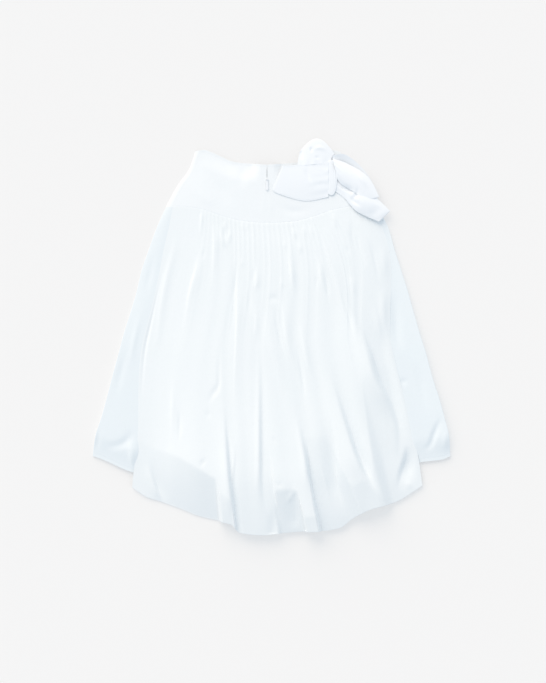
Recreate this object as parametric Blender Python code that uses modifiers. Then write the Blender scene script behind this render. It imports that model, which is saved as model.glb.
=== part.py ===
"""Skirt with a fitted hip yoke, a gathered back panel that ends in a puffed hem, and a fabric bow.

It lies flat on its front. Plan places are millimetres: x to the right of the centre back line, and
"down" from the middle of the waist towards the hem. Heights are millimetres above the floor.
"""
import math
from collections import namedtuple

import bpy
import numpy as np

MM = 0.001

# Driving sizes of the cloth, in millimetres
WALL = 1.5
SEAM_GAP = 0.3
LEAN_ALLOWANCE = 1.1
YOKE_DOME = 2.5

# The front panel and the back panel are each one piece of cloth, made as several walls a hair apart.
# This share of the width or length parts them. The back panel is parted at these shares of its length
# from the yoke to the turn, and at the turn
WALL_SPLIT = 0.0008
PANEL_UPPER_SPLIT = 0.40
PANEL_LOWER_SPLIT = 0.72

# The lower part's lip at the left side seam ends at this column of the grid, half a fold in
LIP_COLUMN = 0.5
LIP_SPLIT = 0.012

# Slit and hidden zip at the centre back
SLIT_OPEN = 2.6
SLIT_CLOSED = 0.6
SLIT_TAPER_FROM = 44
SLIT_TAPER_TO = 64
TAPE_WIDTH = 12
TAPE_LENGTH = 132
TAPE_WALL = 1.0
TAPE_INNER = 1.2
SLIDER_DOWN = 36
SLIDER_PLATE = (7.0, 9.0, 1.6)
NECK_WIDTH = 1.6
NECK_RADIUS = 1.9
PIN_RADIUS = 0.7
PIN_CLEARANCE = 0.35
PIN_ABOVE_YOKE = 1.7
PULL_LENGTH = 26
PULL_WALL = 1.2
PULL_NARROW = 4.8
PULL_WIDE = 7.0
CHEEK_RADIUS = 1.2

# Puffed hem of the back panel
HEM_FOOT = 6.0
HEM_TURN = 6.0
HEM_RETURN = 45
HEM_RETURN_SIDE = 22

# Outline of the skirt laid flat, a row for each level: both silhouettes, both side seams, and the
# radius at which the front cloth folds round to the back
Level = namedtuple("Level", "down left seam_left seam_right right fold")
LEVELS = [
    Level(-40, -170, -156, 160, 174, 3.6),
    Level(-24, -174, -161, 165, 178, 3.6),
    Level(12, -187, -174, 179, 192, 3.6),
    Level(50, -214, -200, 208, 221, 3.6),
    Level(100, -241, -225, 246, 260, 3.6),
    Level(150, -264, -235, 276, 290, 3.6),
    Level(205, -284, -248, 293, 306, 3.8),
    Level(255, -301, -257, 298, 322, 4.0),
    Level(310, -314, -269, 297, 339, 4.2),
    Level(360, -329, -281, 295, 353, 4.4),
    Level(405, -343, -293, 295, 366, 4.6),
    Level(450, -355, -302, 302, 380, 4.8),
    Level(510, -371, -307, 317, 396, 5.0),
    Level(560, -384, -308, 329, 412, 5.2),
    Level(600, -395, -308, 339, 423, 5.4),
    Level(655, -412, -310, 352, 436, 5.6),
    Level(710, -419, -316, 364, 440, 5.6),
    Level(760, -424, -322, 371, 444, 5.6),
    Level(900, -436, -330, 400, 460, 5.6),
]

# Lines that cross the skirt, a row for each place along them
Place = namedtuple("Place", "x down")
WAIST = [
    Place(-180, -30), Place(-151, -36), Place(-130, -29), Place(-108, -19), Place(-89, -10),
    Place(-65, -5), Place(-29, -2), Place(0, 0), Place(29, -2), Place(65, -5), Place(89, -10),
    Place(108, -19), Place(130, -29), Place(151, -36), Place(180, -30),
]
YOKE_SEAM = [
    Place(-260, 101), Place(-205, 102), Place(-160, 108), Place(-110, 124), Place(-60, 137),
    Place(0, 142), Place(60, 139), Place(110, 127), Place(160, 110), Place(215, 101), Place(280, 101),
]
FRONT_HEM = [
    Place(-424, 696), Place(-400, 704), Place(-322, 737), Place(-200, 764), Place(7, 775),
    Place(200, 760), Place(300, 735), Place(367, 713), Place(420, 706), Place(444, 696),
]

# Hem line of the back panel, by the share of its width from the left side seam
HemPoint = namedtuple("HemPoint", "share down")
PANEL_HEM = [
    HemPoint(0.0, 773), HemPoint(0.025, 785), HemPoint(0.053, 797), HemPoint(0.095, 806),
    HemPoint(0.163, 823), HemPoint(0.231, 842), HemPoint(0.305, 854), HemPoint(0.339, 860),
    HemPoint(0.362, 880), HemPoint(0.44, 886), HemPoint(0.515, 881), HemPoint(0.597, 877),
    HemPoint(0.647, 876), HemPoint(0.698, 869), HemPoint(0.741, 848), HemPoint(0.806, 824),
    HemPoint(0.897, 808), HemPoint(0.97, 781), HemPoint(1.0, 768),
]

# Main folds of the back panel, from left to right. Each row gives the share of the width at which the
# fold's ridge runs, at four stations down the panel, and the depth of the hollow to its right
STATIONS = (0.0, 0.35, 0.7, 1.0)
Fold = namedtuple("Fold", "seam upper lower hem hollow")
FOLDS = [
    Fold(0.0, 0.0, 0.0, 0.0, 3),
    Fold(0.035, 0.035, 0.037, 0.050, 6),
    Fold(0.100, 0.098, 0.080, 0.088, 5),
    Fold(0.160, 0.163, 0.127, 0.140, 7),
    Fold(0.215, 0.248, 0.215, 0.225, 7),
    Fold(0.275, 0.312, 0.311, 0.325, 12),
    Fold(0.335, 0.366, 0.368, 0.385, 6),
    Fold(0.405, 0.430, 0.424, 0.437, 9),
    Fold(0.475, 0.502, 0.500, 0.520, 6),
    Fold(0.545, 0.575, 0.577, 0.605, 14),
    Fold(0.610, 0.645, 0.655, 0.685, 12),
    Fold(0.670, 0.712, 0.727, 0.778, 16),
    Fold(0.725, 0.815, 0.822, 0.860, 7),
    Fold(0.800, 0.845, 0.893, 0.915, 14),
    Fold(0.885, 0.885, 0.967, 0.970, 5),
    Fold(1.0, 1.0, 1.0, 1.0, 0),
]

# How the back panel rises above the yoke's level: the cloth, its small gathers, two to each main fold,
# and the share of each hollow's full depth
Rise = namedtuple("Rise", "along cloth gather hollow")
RISES = [
    Rise(0.0, 0.0, 0.0, 0.0),
    Rise(0.03, 2.6, 1.6, 0.05),
    Rise(0.08, 7.0, 2.0, 0.2),
    Rise(0.2, 12.0, 1.3, 0.45),
    Rise(0.4, 15.0, 0.4, 0.65),
    Rise(0.6, 21.0, 0.0, 0.85),
    Rise(0.75, 30.0, 0.0, 1.0),
    Rise(1.0, 36.0, 0.0, 1.0),
]

# Where the back panel turns over into its puffed hem, as a share of its length
Turn = namedtuple("Turn", "share along")
TURNS = [Turn(0.0, 0.86), Turn(0.3, 0.83), Turn(0.5, 0.82), Turn(0.65, 0.76), Turn(1.0, 0.78)]

# Bow loops, each a band that leaves the knot, folds back at its tip and returns above itself. A row
# gives both edges of the band, how far its middle bulges towards the waist, and how far it swells up
Station = namedtuple("Station", "ax adown az bx bdown bz bulge swell")
BOW_LOOPS = {
    "bow_loop_left": [
        Station(141.3, -4, 13.4, 141.3, 72, 13.4, 0, 0),
        Station(95, -1, 12.9, 90, 83, 12.9, 0, 0),
        Station(45, 4, 12.6, 27, 68, 12.6, 0, 0),
        Station(37, 3, 17.2, 13, 60, 17.2, 0, 0),
        Station(46, 3, 22.0, 27, 70, 21.6, 0, 3),
        Station(95, -2, 26.0, 90, 88, 23.0, 0, 6),
        Station(141.3, -6, 26.0, 141.3, 79, 25.0, 0, 1),
    ],
    "bow_loop_top": [
        Station(72, -3, 12.7, 145, -13, 12.7, 0, 0),
        Station(74, -16, 12.5, 160, -21, 12.5, 10, 0),
        Station(74, -26, 12.5, 173, -26, 12.5, 24, 0),
        Station(74, -30, 17.0, 176, -28, 17.0, 32, 0),
        Station(74, -26, 21.5, 173, -26, 21.5, 24, 3),
        Station(73, -15, 26.5, 160, -21, 26.5, 10, 5),
        Station(72, -3, 27.0, 145, -13, 27.0, 0, 2),
    ],
    "bow_loop_right": [
        Station(163, -13, 21.5, 166.9, 14, 21.5, 0, 0),
        Station(190, -20, 21.5, 181, 36, 23.0, 0, 0),
        Station(238, 20, 23.0, 205, 62, 25.5, 0, 0),
        Station(268, 78, 30.0, 232, 88, 30.5, 0, 0),
        Station(242, 30, 36.0, 206, 60, 36.0, 0, 3),
        Station(194, 0, 33.0, 181, 34, 33.0, 0, 3),
        Station(163, -8, 30.0, 166.9, 16, 30.0, 0, 0),
    ],
    "bow_loop_lower": [
        Station(166.7, 23, 12.4, 166.7, 61, 12.4, 0, 0),
        Station(196, 42, 12.8, 186, 80, 12.8, 0, 0),
        Station(246, 72, 16.0, 216, 112, 18.5, 0, 0),
        Station(294, 112, 24.5, 268, 137, 26.0, 0, 0),
        Station(248, 72, 20.0, 216, 114, 29.0, 0, 2),
        Station(196, 42, 17.4, 186, 82, 22.0, 0, 1),
        Station(166.7, 23, 16.4, 166.7, 63, 18.5, 0, 0),
    ],
}
LOOP_GATHERS = 4
LOOP_GATHER_HEIGHT = 0.9

# Knot of the bow
KNOT_X = 154
KNOT_DOWN = 31
KNOT_HALF_WIDTH = 11.6
KNOT_HALF_LENGTH = 46
KNOT_HALF_HEIGHT = 12.5
KNOT_CENTRE = 23
KNOT_GATHERS = 7
KNOT_GATHER_SHARE = 0.06
KNOT_ROUNDNESS = 3

COTTON = (0.90, 0.93, 0.97)
TAPE_WHITE = (0.88, 0.90, 0.93)
ENAMEL_WHITE = (0.86, 0.88, 0.91)


def values(table, name):
    """One named column of a table, as an array."""
    return np.array([getattr(row, name) for row in table], float)


def smooth(table, key, name, at):
    """A column read at any place between its rows, with no overshoot."""
    knots = values(table, key)
    heights = values(table, name)
    at = np.asarray(at, float)
    rise = np.diff(heights) / np.diff(knots)
    slope = np.zeros_like(heights)
    slope[0] = rise[0]
    slope[-1] = rise[-1]
    same_way = rise[:-1] * rise[1:] > 0
    both = np.where(same_way, rise[:-1] + rise[1:], 1)
    slope[1:-1] = np.where(same_way, 2 * rise[:-1] * rise[1:] / both, 0)
    index = np.clip(np.searchsorted(knots, at, side="right") - 1, 0, len(rise) - 1)
    step = np.diff(knots)[index]
    t = np.clip((at - knots[index]) / step, 0, 1)
    start = (1 + 2 * t) * (1 - t) ** 2 * heights[index] + t * (1 - t) ** 2 * step * slope[index]
    end = t * t * (3 - 2 * t) * heights[index + 1] + t * t * (t - 1) * step * slope[index + 1]
    return start + end


def mix(low, high, share):
    """The value that lies this share of the way from low to high."""
    return low + (high - low) * share


def level(down, name):
    return smooth(LEVELS, "down", name, down)


def side_height(down):
    """Height of the middle of the cloth where the front has folded round to the back."""
    return WALL / 2 + 2 * level(down, "fold")


def back_height(x, down):
    """Height of the smooth back yoke, which rises a little between the side seams."""
    share = (x - level(down, "seam_left")) / (level(down, "seam_right") - level(down, "seam_left"))
    return side_height(down) + YOKE_DOME * (1 - (2 * share - 1) ** 2)


def on_line(line, left, right, share):
    """The point of a crossing line that lies this share of the way between two edges at its level."""
    down = np.full_like(np.asarray(share, float), line[len(line) // 2].down)
    for _ in range(6):
        x = mix(left(down), right(down), share)
        down = smooth(line, "x", "down", x)
    return x, down


def between_lines(top, bottom, left, right, share, along):
    """A point between two crossing lines and two edges."""
    top_down = on_line(top, left, right, share)[1] if isinstance(top, list) else top
    bottom_down = on_line(bottom, left, right, share)[1] if isinstance(bottom, list) else bottom
    down = mix(top_down, bottom_down, along)
    return mix(left(down), right(down), share), down


def slit_half(down):
    """Half the gap between the two back yokes: open above the slider, closed as a seam below."""
    share = np.clip((down - SLIT_TAPER_FROM) / (SLIT_TAPER_TO - SLIT_TAPER_FROM), 0, 1)
    return mix(SLIT_OPEN, SLIT_CLOSED, share) / 2


def yoke_point(side, across, along):
    """Middle surface of one back yoke, from its side seam to the slit and from the waist down."""
    def seam(down):
        return level(down, "seam_left" if side < 0 else "seam_right")

    def slit(down):
        return side * slit_half(down)

    x, down = between_lines(WAIST, YOKE_SEAM, seam, slit, across, along)
    return x, down, back_height(x, down)


def ridge_shares(along):
    """The share of the width at which each fold's ridge runs, an array with a row for each fold."""
    rows = []
    for fold in FOLDS:
        places = [Place(x, down) for x, down in zip(STATIONS, fold[:4])]
        rows.append(smooth(places, "x", "down", along))
    return np.array(rows)


def panel_place(column, along):
    """Share across the panel, and relief, where a column counts folds from the left."""
    fold = np.clip(np.floor(column).astype(int), 0, len(FOLDS) - 2)
    phase = column - fold
    ridges = ridge_shares(along)
    each = np.arange(column.size)
    share = mix(ridges[fold, each], ridges[fold + 1, each], phase)
    hollow = values(FOLDS, "hollow")[fold] * np.sin(np.pi * phase) ** 2
    relief = smooth(RISES, "along", "cloth", along)
    relief = relief + smooth(RISES, "along", "gather", along) * np.cos(4 * np.pi * phase)
    return share, relief - smooth(RISES, "along", "hollow", along) * hollow


def shoulder(share):
    """How far the puffed panel has risen between its two side seams, from 0 to 1."""
    return np.sqrt(np.clip(1 - np.abs(2 * share - 1) ** 6, 0, 1))


def panel_point(column, row):
    """Middle surface of the back panel.

    The row runs from 0 at the yoke seam to 1 where the cloth turns over, 2 at the hem's outline, 3 on
    the floor under it and 4 at the turned-under edge.
    """
    quarter = np.pi / 2
    roll = np.clip(row - 1, 0, 1) * quarter
    under = np.clip(row - 2, 0, 1) * quarter
    share = panel_place(column, np.clip(row, 0, 1))[0]
    for _ in range(2):
        turn = smooth(TURNS, "share", "along", share)
        along = np.where(row <= 1, row * turn, mix(turn, 1, np.sin(roll)))
        share, relief = panel_place(column, along)
    turn_relief = panel_place(column, turn)[1]

    def left(down):
        return level(down, "seam_left") + LEAN_ALLOWANCE

    def right(down):
        return level(down, "seam_right") - LEAN_ALLOWANCE

    seam_down = on_line(YOKE_SEAM, left, right, share)[1] + SEAM_GAP + LEAN_ALLOWANCE / 2
    hem_down = smooth(PANEL_HEM, "share", "down", share)
    middle = np.sin(np.pi * share)
    returned = mix(HEM_RETURN_SIDE, HEM_RETURN, middle)
    inward = HEM_TURN * (1 - np.cos(under)) + returned * np.clip(row - 3, 0, 1)
    down = mix(seam_down, hem_down, along) - inward
    x = mix(left(down), right(down), share)
    base = back_height(x, down)
    top = base + shoulder(share) * np.where(row <= 1, relief, turn_relief)
    rolled = mix(HEM_FOOT, top, np.cos(roll))
    turned = mix(HEM_FOOT, WALL / 2, np.sin(under))
    z = np.where(row <= 1, top, np.where(row <= 2, rolled, turned))
    return x, down, z


def wrapped_point(top, bottom, column, row):
    """Middle surface of a front piece that folds round both sides of the skirt.

    The column runs from 0 at the left side seam on top, 1 to 2 round the left fold, 2 to 3 across the
    underside, 3 to 4 round the right fold, to 5 at the right side seam.
    """
    mirror = column > 2.5
    near = np.where(mirror, 5 - column, column)
    strip = np.clip(near, 0, 1)
    turn = np.clip(near - 1, 0, 1) * np.pi
    across = np.clip(column - 2, 0, 1)

    def edge(down, side, seam):
        fold = level(down, "fold")
        inward = np.where(mirror, -1, 1)
        outline = level(down, side) + inward * fold
        on_strip = mix(level(down, seam) - inward * SEAM_GAP, outline, strip)
        return np.where(near <= 1, on_strip, outline - inward * fold * np.sin(turn))

    def left(down):
        return edge(down, "left", "seam_left")

    def right(down):
        return edge(down, "right", "seam_right")

    share = np.where(column <= 2, 0, np.where(column >= 3, 1, across))
    x, down = between_lines(top, bottom, left, right, share, row)
    radius = level(down, "fold")
    z = np.where(near <= 1, WALL / 2 + 2 * radius, WALL / 2 + radius * (1 + np.cos(turn)))
    return x, down, np.where((column > 2) & (column < 3), WALL / 2, z)


def front_yoke_point(column, row):
    return wrapped_point(WAIST, YOKE_SEAM, column, row)


def front_panel_point(column, row):
    below_seam = [Place(place.x, place.down + SEAM_GAP) for place in YOKE_SEAM]
    return wrapped_point(below_seam, FRONT_HEM, column, row)


def through(stations, name, at):
    """A column read on a smooth curve through its rows, by row number."""
    column = values(stations, name)
    padded = np.concatenate([[2 * column[0] - column[1]], column, [2 * column[-1] - column[-2]]])
    index = np.clip(np.floor(at).astype(int), 0, len(column) - 2)
    t = at - index
    before, start, end, after = (padded[index + step] for step in range(4))
    linear = (end - before) * t
    square = (2 * before - 5 * start + 4 * end - after) * t ** 2
    cube = (3 * start - before - 3 * end + after) * t ** 3
    return start + (linear + square + cube) / 2


def loop_point(stations, across, along):
    """Middle surface of a bow loop, from edge to edge and from the knot out and back."""
    at = along * (len(stations) - 1)
    bow = np.sin(np.pi * across)
    near_knot = np.clip(1 - np.minimum(at, len(stations) - 1 - at), 0, 1)
    gather = LOOP_GATHER_HEIGHT * near_knot * np.cos(2 * np.pi * LOOP_GATHERS * across)
    x = mix(through(stations, "ax", at), through(stations, "bx", at), across)
    down = mix(through(stations, "adown", at), through(stations, "bdown", at), across)
    z = mix(through(stations, "az", at), through(stations, "bz", at), across)
    down = down - through(stations, "bulge", at) * bow
    return x, down, z + through(stations, "swell", at) * bow + gather


def steps(start, stop, count):
    """Evenly spaced grid values, both ends included."""
    return [start + (stop - start) * number / count for number in range(count + 1)]


def material(name, colour, roughness, metallic=0.0):
    """A Principled material of one colour."""
    made = bpy.data.materials.new(name)
    made.use_nodes = True
    shader = made.node_tree.nodes["Principled BSDF"]
    shader.inputs["Base Color"].default_value = (*colour, 1)
    shader.inputs["Roughness"].default_value = roughness
    shader.inputs["Metallic"].default_value = metallic
    return made


def keep(obj, name, collection, finish):
    """Name an object, give it its material and move it to a collection."""
    obj.name = name
    obj.data.name = name
    obj.data.materials.clear()
    obj.data.materials.append(finish)
    for other in list(obj.users_collection):
        other.objects.unlink(obj)
    collection.objects.link(obj)
    return obj


def cloth(name, columns, rows, point, parts):
    """A wall of cloth: a grid on its middle surface, given its thickness."""
    column, row = np.meshgrid(columns, rows)
    x, down, z = point(column.ravel(), row.ravel())
    corners = np.stack([x, -down, z], axis=-1) * MM
    width = len(columns)
    faces = []
    for low in range(len(rows) - 1):
        for left in range(width - 1):
            first = low * width + left
            faces.append((first, first + width, first + width + 1, first + 1))
    mesh = bpy.data.meshes.new(name)
    mesh.from_pydata(corners.tolist(), [], faces)
    obj = keep(bpy.data.objects.new(name, mesh), name, parts, material(name + "_cotton", COTTON, 0.85))
    shell = obj.modifiers.new("Thickness", "SOLIDIFY")
    shell.thickness = WALL * MM
    shell.offset = 0
    shell.use_even_offset = True
    return obj


def block(size, centre):
    """A box of a size in millimetres, round a centre given as x, down and height."""
    bpy.ops.mesh.primitive_cube_add(size=1, location=(centre[0] * MM, -centre[1] * MM, centre[2] * MM))
    obj = bpy.context.object
    obj.scale = tuple(side * MM for side in size)
    bpy.ops.object.transform_apply(location=False, rotation=False, scale=True)
    return obj


def rod(radius, length, centre, vertices=24):
    """A round bar that lies across the skirt, along X."""
    bpy.ops.mesh.primitive_cylinder_add(
        vertices=vertices, radius=radius * MM, depth=length * MM,
        location=(centre[0] * MM, -centre[1] * MM, centre[2] * MM), rotation=(0, math.pi / 2, 0))
    return bpy.context.object


def combine(body, others, operation, guides):
    """Join other solids to a body, or cut them from it."""
    for other in others:
        modifier = body.modifiers.new(operation.title(), "BOOLEAN")
        modifier.operation = operation
        modifier.solver = "EXACT"
        modifier.object = other
        other.hide_render = True
        other.display_type = "WIRE"
        for collection in list(other.users_collection):
            collection.objects.unlink(other)
        guides.objects.link(other)


def make_front(parts):
    """The front yoke and front panel, flat under the skirt and folded round both its sides.

    The panel is one piece of cloth, made as three walls a hair apart: its underside, and each side
    strip with its fold. So its collision follows the folds, where one wide shallow wall would be filled.
    """
    strip = steps(0, 1, 2)[:-1]
    left = strip + steps(1, 2, 5)
    right = [5 - column for column in reversed(left)]
    yoke_columns = left + steps(2, 3, 6)[1:-1] + right
    under = steps(2 + WALL_SPLIT, 3 - WALL_SPLIT, 6)
    rows = steps(0, 1, 26)
    cloth("front_yoke", yoke_columns, steps(0, 1, 8), front_yoke_point, parts)
    cloth("front_panel", under, rows, front_panel_point, parts)
    cloth("front_side_left", left, rows, front_panel_point, parts)
    cloth("front_side_right", right, rows, front_panel_point, parts)


def make_back(parts):
    """The two back yokes on either side of the slit, and the gathered panel below them.

    The panel is made as walls a hair apart: gathered top, middle, lower part and turned-under puff. A
    short wall has collision that follows its rise from the side seams, and a long one is filled. So
    the steep lip by which the lower part rises from the left side seam is a wall of its own too.
    """
    for name, side in (("back_yoke_left", -1), ("back_yoke_right", 1)):
        def point(across, along, side=side):
            return yoke_point(side, across, along)
        cloth(name, steps(0, 1, 16), steps(0, 1, 8), point, parts)
    columns = steps(0, len(FOLDS) - 1, 4 * (len(FOLDS) - 1))
    gathered = [0, 0.03, 0.065] + steps(0.11, PANEL_UPPER_SPLIT - WALL_SPLIT, 4)
    middle = steps(PANEL_UPPER_SPLIT + WALL_SPLIT, PANEL_LOWER_SPLIT - WALL_SPLIT, 5)
    lower = steps(PANEL_LOWER_SPLIT + WALL_SPLIT, 1 - WALL_SPLIT, 4)
    puff = steps(1 + WALL_SPLIT, 2, 6) + steps(2, 3, 3)[1:] + steps(3, 4, 2)[1:]
    cloth("back_panel", columns, gathered, panel_point, parts)
    cloth("back_panel_middle", columns, middle, panel_point, parts)
    lip = steps(0, LIP_COLUMN - LIP_SPLIT, 2)
    past_lip = [LIP_COLUMN + LIP_SPLIT] + [column for column in columns if column > LIP_COLUMN]
    cloth("back_side_left", lip, lower, panel_point, parts)
    cloth("back_panel_lower", past_lip, lower, panel_point, parts)
    cloth("back_puff", columns, puff, panel_point, parts)


def make_zip(parts, guides):
    """Tapes under the slit, a slider whose neck stands in the slit, and a pull tab pinned to the neck."""
    yoke_middle = float(back_height(0.0, float(SLIDER_DOWN)))
    tape_z = yoke_middle - WALL / 2 - 0.4 - TAPE_WALL / 2
    for name, side in (("zip_tape_left", -1), ("zip_tape_right", 1)):
        centre = (side * (TAPE_INNER + TAPE_WIDTH / 2), 3 + TAPE_LENGTH / 2, tape_z)
        tape = block((TAPE_WIDTH, TAPE_LENGTH, TAPE_WALL), centre)
        keep(tape, name, parts, material(name + "_polyester", TAPE_WHITE, 0.7))

    pin_z = yoke_middle + WALL / 2 + PIN_ABOVE_YOKE
    plate_top = tape_z - TAPE_WALL / 2 - SEAM_GAP
    plate_z = plate_top - SLIDER_PLATE[2] / 2
    slider = block(SLIDER_PLATE, (0, SLIDER_DOWN, plate_z))
    keep(slider, "zip_slider", parts, material("zip_slider_enamel", ENAMEL_WHITE, 0.35))
    neck_height = pin_z - plate_z
    neck = block((NECK_WIDTH, 2 * NECK_RADIUS, neck_height), (0, SLIDER_DOWN, (pin_z + plate_z) / 2))
    crown = rod(NECK_RADIUS, NECK_WIDTH, (0, SLIDER_DOWN, pin_z))
    bore = rod(PIN_RADIUS + PIN_CLEARANCE, NECK_WIDTH * 3, (0, SLIDER_DOWN, pin_z))
    combine(slider, [neck, crown], "UNION", guides)
    combine(slider, [bore], "DIFFERENCE", guides)

    inner = NECK_WIDTH / 2 + PIN_CLEARANCE
    outer = PULL_NARROW / 2
    pull = rod(PIN_RADIUS, PULL_NARROW - 0.4, (0, SLIDER_DOWN, pin_z))
    keep(pull, "zip_pull", parts, material("zip_pull_enamel", ENAMEL_WHITE, 0.3))
    blade_z = pin_z - PULL_WALL / 2
    blade_start = SLIDER_DOWN + NECK_RADIUS + 0.4
    blade_end = SLIDER_DOWN + PULL_LENGTH - PULL_WIDE / 2
    joined = []
    for side in (-1, 1):
        centre_x = side * (inner + outer) / 2
        joined.append(rod(CHEEK_RADIUS, outer - inner, (centre_x, SLIDER_DOWN, pin_z)))
        arm_length = NECK_RADIUS + 1.0
        centre = (centre_x, SLIDER_DOWN + arm_length / 2, blade_z)
        joined.append(block((outer - inner, arm_length, PULL_WALL * 0.96), centre))
    blade = block((PULL_NARROW, blade_end - blade_start, PULL_WALL), (0, (blade_start + blade_end) / 2, blade_z))
    for vertex in blade.data.vertices:
        if vertex.co.y < 0:
            vertex.co.x *= PULL_WIDE / PULL_NARROW
    joined.append(blade)
    bpy.ops.mesh.primitive_cylinder_add(
        vertices=32, radius=PULL_WIDE / 2 * MM, depth=PULL_WALL * 0.98 * MM,
        location=(0, -blade_end * MM, blade_z * MM))
    joined.append(bpy.context.object)
    combine(pull, joined, "UNION", guides)
    return Place(0, SLIDER_DOWN), pin_z


def make_bow(parts):
    """Four loops of a wide band and the gathered knot that holds them."""
    for name, stations in BOW_LOOPS.items():
        def point(across, along, stations=stations):
            return loop_point(stations, across, along)
        cloth(name, steps(0, 1, 8), steps(0, 1, 15), point, parts)
    bpy.ops.mesh.primitive_uv_sphere_add(segments=28, ring_count=10, radius=1)
    knot = keep(bpy.context.object, "bow_knot", parts, material("bow_knot_cotton", COTTON, 0.85))
    for vertex in knot.data.vertices:
        turn = math.atan2(vertex.co.y, vertex.co.x)
        along = min(abs(vertex.co.z), 1.0)
        full = math.sqrt((1 - along ** KNOT_ROUNDNESS) / max(1 - along ** 2, 1e-9))
        wave = full * (1 + KNOT_GATHER_SHARE * math.cos(2 * KNOT_GATHERS * turn) * (1 - along ** 2))
        x = KNOT_X + vertex.co.x * wave * KNOT_HALF_WIDTH
        down = KNOT_DOWN - vertex.co.z * KNOT_HALF_LENGTH
        height = KNOT_CENTRE + vertex.co.y * wave * KNOT_HALF_HEIGHT
        vertex.co = (x * MM, -down * MM, height * MM)
    bpy.ops.object.mode_set(mode="EDIT")
    bpy.ops.mesh.select_all(action="SELECT")
    bpy.ops.mesh.normals_make_consistent(inside=False)
    bpy.ops.object.mode_set(mode="OBJECT")


def centre_on_floor(parts):
    """Move the skirt so that the origin is the middle of its box, at the floor."""
    bpy.context.view_layer.update()
    graph = bpy.context.evaluated_depsgraph_get()
    corners = []
    for obj in parts.objects:
        mesh = obj.evaluated_get(graph).to_mesh()
        points = np.empty(len(mesh.vertices) * 3, np.float32)
        mesh.vertices.foreach_get("co", points)
        points = points.reshape(-1, 3) + np.array(obj.matrix_world.translation)
        corners += [points.min(axis=0), points.max(axis=0)]
    low = np.min(corners, axis=0)
    high = np.max(corners, axis=0)
    middle = ((low[0] + high[0]) / 2, (low[1] + high[1]) / 2, low[2])
    for obj in bpy.data.objects:
        for axis in range(3):
            obj.location[axis] -= middle[axis]
    return middle


def main():
    for obj in list(bpy.data.objects):
        bpy.data.objects.remove(obj)
    parts = bpy.data.collections.new("yoke_skirt_with_bow")
    guides = bpy.data.collections.new("cutters")
    bpy.context.scene.collection.children.link(parts)
    bpy.context.scene.collection.children.link(guides)
    make_front(parts)
    make_back(parts)
    pin, pin_z = make_zip(parts, guides)
    make_bow(parts)
    middle = centre_on_floor(parts)
    print("origin in plan, metres:", [round(float(value), 6) for value in middle])
    print("pull pin:", pin.x * MM - middle[0], -pin.down * MM - middle[1], pin_z * MM - middle[2])


main()
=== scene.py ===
# %% [markdown]
# # A white cotton skirt, laid flat
# The skirt has a smooth hip yoke with a zip slit, a gathered back panel with a puffed hem, a plainer
# front that shows as a strip at each side, and a fabric bow at the waist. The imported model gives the
# frame. Each cloth piece here is a fine thin shell that stands for one of its solids.

# %% Load the frame
import math
from collections import namedtuple
from functools import partial

import bpy
import numpy as np
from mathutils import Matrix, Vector


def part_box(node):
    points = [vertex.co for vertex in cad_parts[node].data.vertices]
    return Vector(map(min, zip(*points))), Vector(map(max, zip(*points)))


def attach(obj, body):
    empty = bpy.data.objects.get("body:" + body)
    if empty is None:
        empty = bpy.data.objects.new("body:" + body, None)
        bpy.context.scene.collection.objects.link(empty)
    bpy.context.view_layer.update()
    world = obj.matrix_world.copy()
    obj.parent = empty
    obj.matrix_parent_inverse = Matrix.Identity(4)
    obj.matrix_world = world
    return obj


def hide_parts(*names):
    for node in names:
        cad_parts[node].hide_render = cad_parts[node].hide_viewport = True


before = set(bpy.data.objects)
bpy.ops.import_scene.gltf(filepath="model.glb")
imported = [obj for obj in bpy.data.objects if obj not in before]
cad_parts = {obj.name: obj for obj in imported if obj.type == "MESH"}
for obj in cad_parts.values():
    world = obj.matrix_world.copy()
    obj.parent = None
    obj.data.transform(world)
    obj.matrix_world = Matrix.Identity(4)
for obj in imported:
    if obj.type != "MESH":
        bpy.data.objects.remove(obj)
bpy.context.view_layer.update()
MM = 0.001
scene = bpy.context.scene

# %% [markdown]
# ## Plan of the skirt
# A pattern cutter measures from the centre back line and from the waist. The same plan is used here:
# x to the right, "down" towards the hem, height above the surface, all in millimetres. The slider sits
# on the centre line at a known distance below the waist, so its solid shows where the plan lies.

# %% Plan to frame
SLIDER_DOWN = 36
slider_low, slider_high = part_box("zip_slider")
PLAN_X = (slider_low[0] + slider_high[0]) / 2
PLAN_Y = (slider_low[1] + slider_high[1]) / 2 + SLIDER_DOWN * MM


def placed(x, down, z):
    """Plan millimetres to frame metres, as rows of points."""
    x, down, z = np.broadcast_arrays(x, down, z)
    return np.stack([x * MM + PLAN_X, PLAN_Y - down * MM, z * MM], axis=-1)


print("plan origin in the frame:", round(PLAN_X, 4), round(PLAN_Y, 4))

# %% [markdown]
# ## Camera and light
# The photograph looks straight down at a garment on a pale surface. A long lens far above keeps the
# outline true. Even light from all round does most of the work and a broad soft sun from the upper
# left the rest, so slopes that face away turn only a little darker, as on a bright product photo. The
# sun is a little warm and the sky a little cool: together they are white, and a slope that turns away
# goes faintly blue. The table glows, as one for product photos does, so shadows at its edge stay soft.

# %% Camera
MM_PER_PIXEL = 2.4
IMAGE_WIDTH, IMAGE_HEIGHT = 546, 683
CENTRE_LINE_PIXEL, WAIST_PIXEL = 267, 165
LENS = 85
SENSOR = 36

view_x = (IMAGE_WIDTH / 2 - CENTRE_LINE_PIXEL) * MM_PER_PIXEL
view_down = (IMAGE_HEIGHT / 2 - WAIST_PIXEL) * MM_PER_PIXEL
view_height = IMAGE_HEIGHT * MM_PER_PIXEL * LENS / SENSOR
camera_data = bpy.data.cameras.new("camera")
camera_data.lens = LENS
camera_data.sensor_width = SENSOR
camera = bpy.data.objects.new("camera", camera_data)
camera.location = placed(view_x, view_down, view_height)
scene.collection.objects.link(camera)
scene.camera = camera
print("camera height", round(view_height * MM, 2), "m")

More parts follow.
